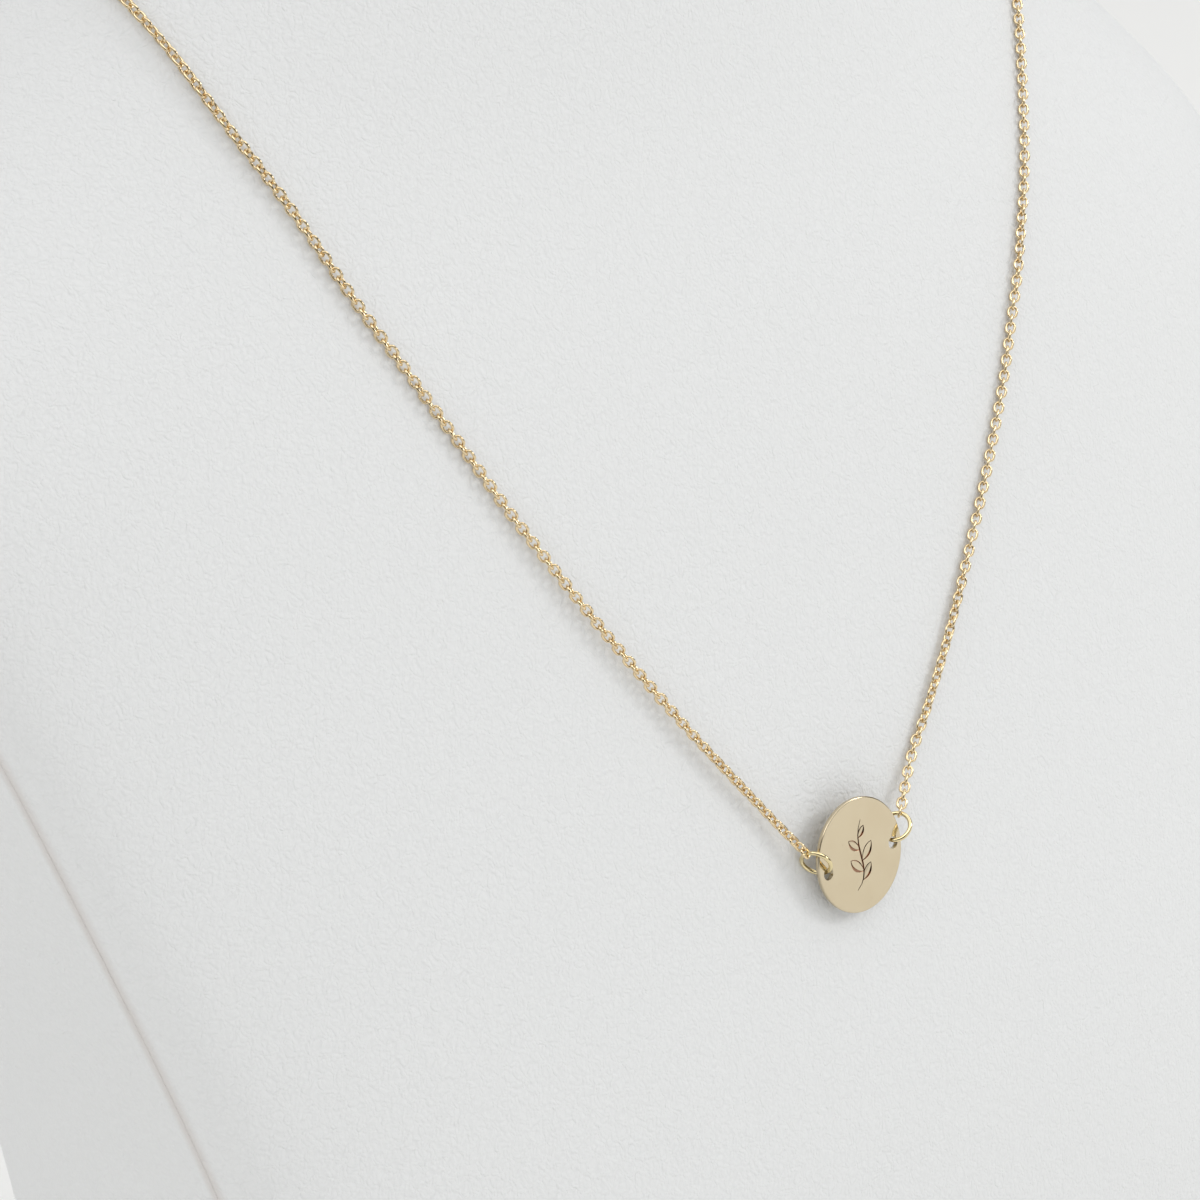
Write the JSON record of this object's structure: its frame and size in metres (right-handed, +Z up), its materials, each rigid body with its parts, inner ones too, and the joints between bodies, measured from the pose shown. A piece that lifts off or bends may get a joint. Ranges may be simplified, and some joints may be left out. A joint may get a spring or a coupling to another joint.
{
  "type": "initial pendant necklace on a neck bust",
  "caption": "Fine cable chain necklace with a small round disc held between two strands by jump rings, laid on a plain leatherette neck bust.",
  "frame": {"origin": "middle of the bust's flat base, below the middle of its whole width and depth", "axes": "+Z up the bust, -Y out of its chest towards the viewer, +X to the viewer's right"},
  "size_m": [0.187, 0.1204, 0.25],
  "materials": {
    "leatherette": "matte white, fine wavy grain",
    "gold": "polished pale yellow gold"
  },
  "bodies": {
    "root": {"bust_front": "leatherette", "bust_back": "leatherette", "disc": "gold", "jump_ring_left": "gold", "jump_ring_right": "gold", "chain_left": "gold", "chain_right": "gold", "clasp": "gold", "end_ring": "gold"}
  },
  "joints": []
}
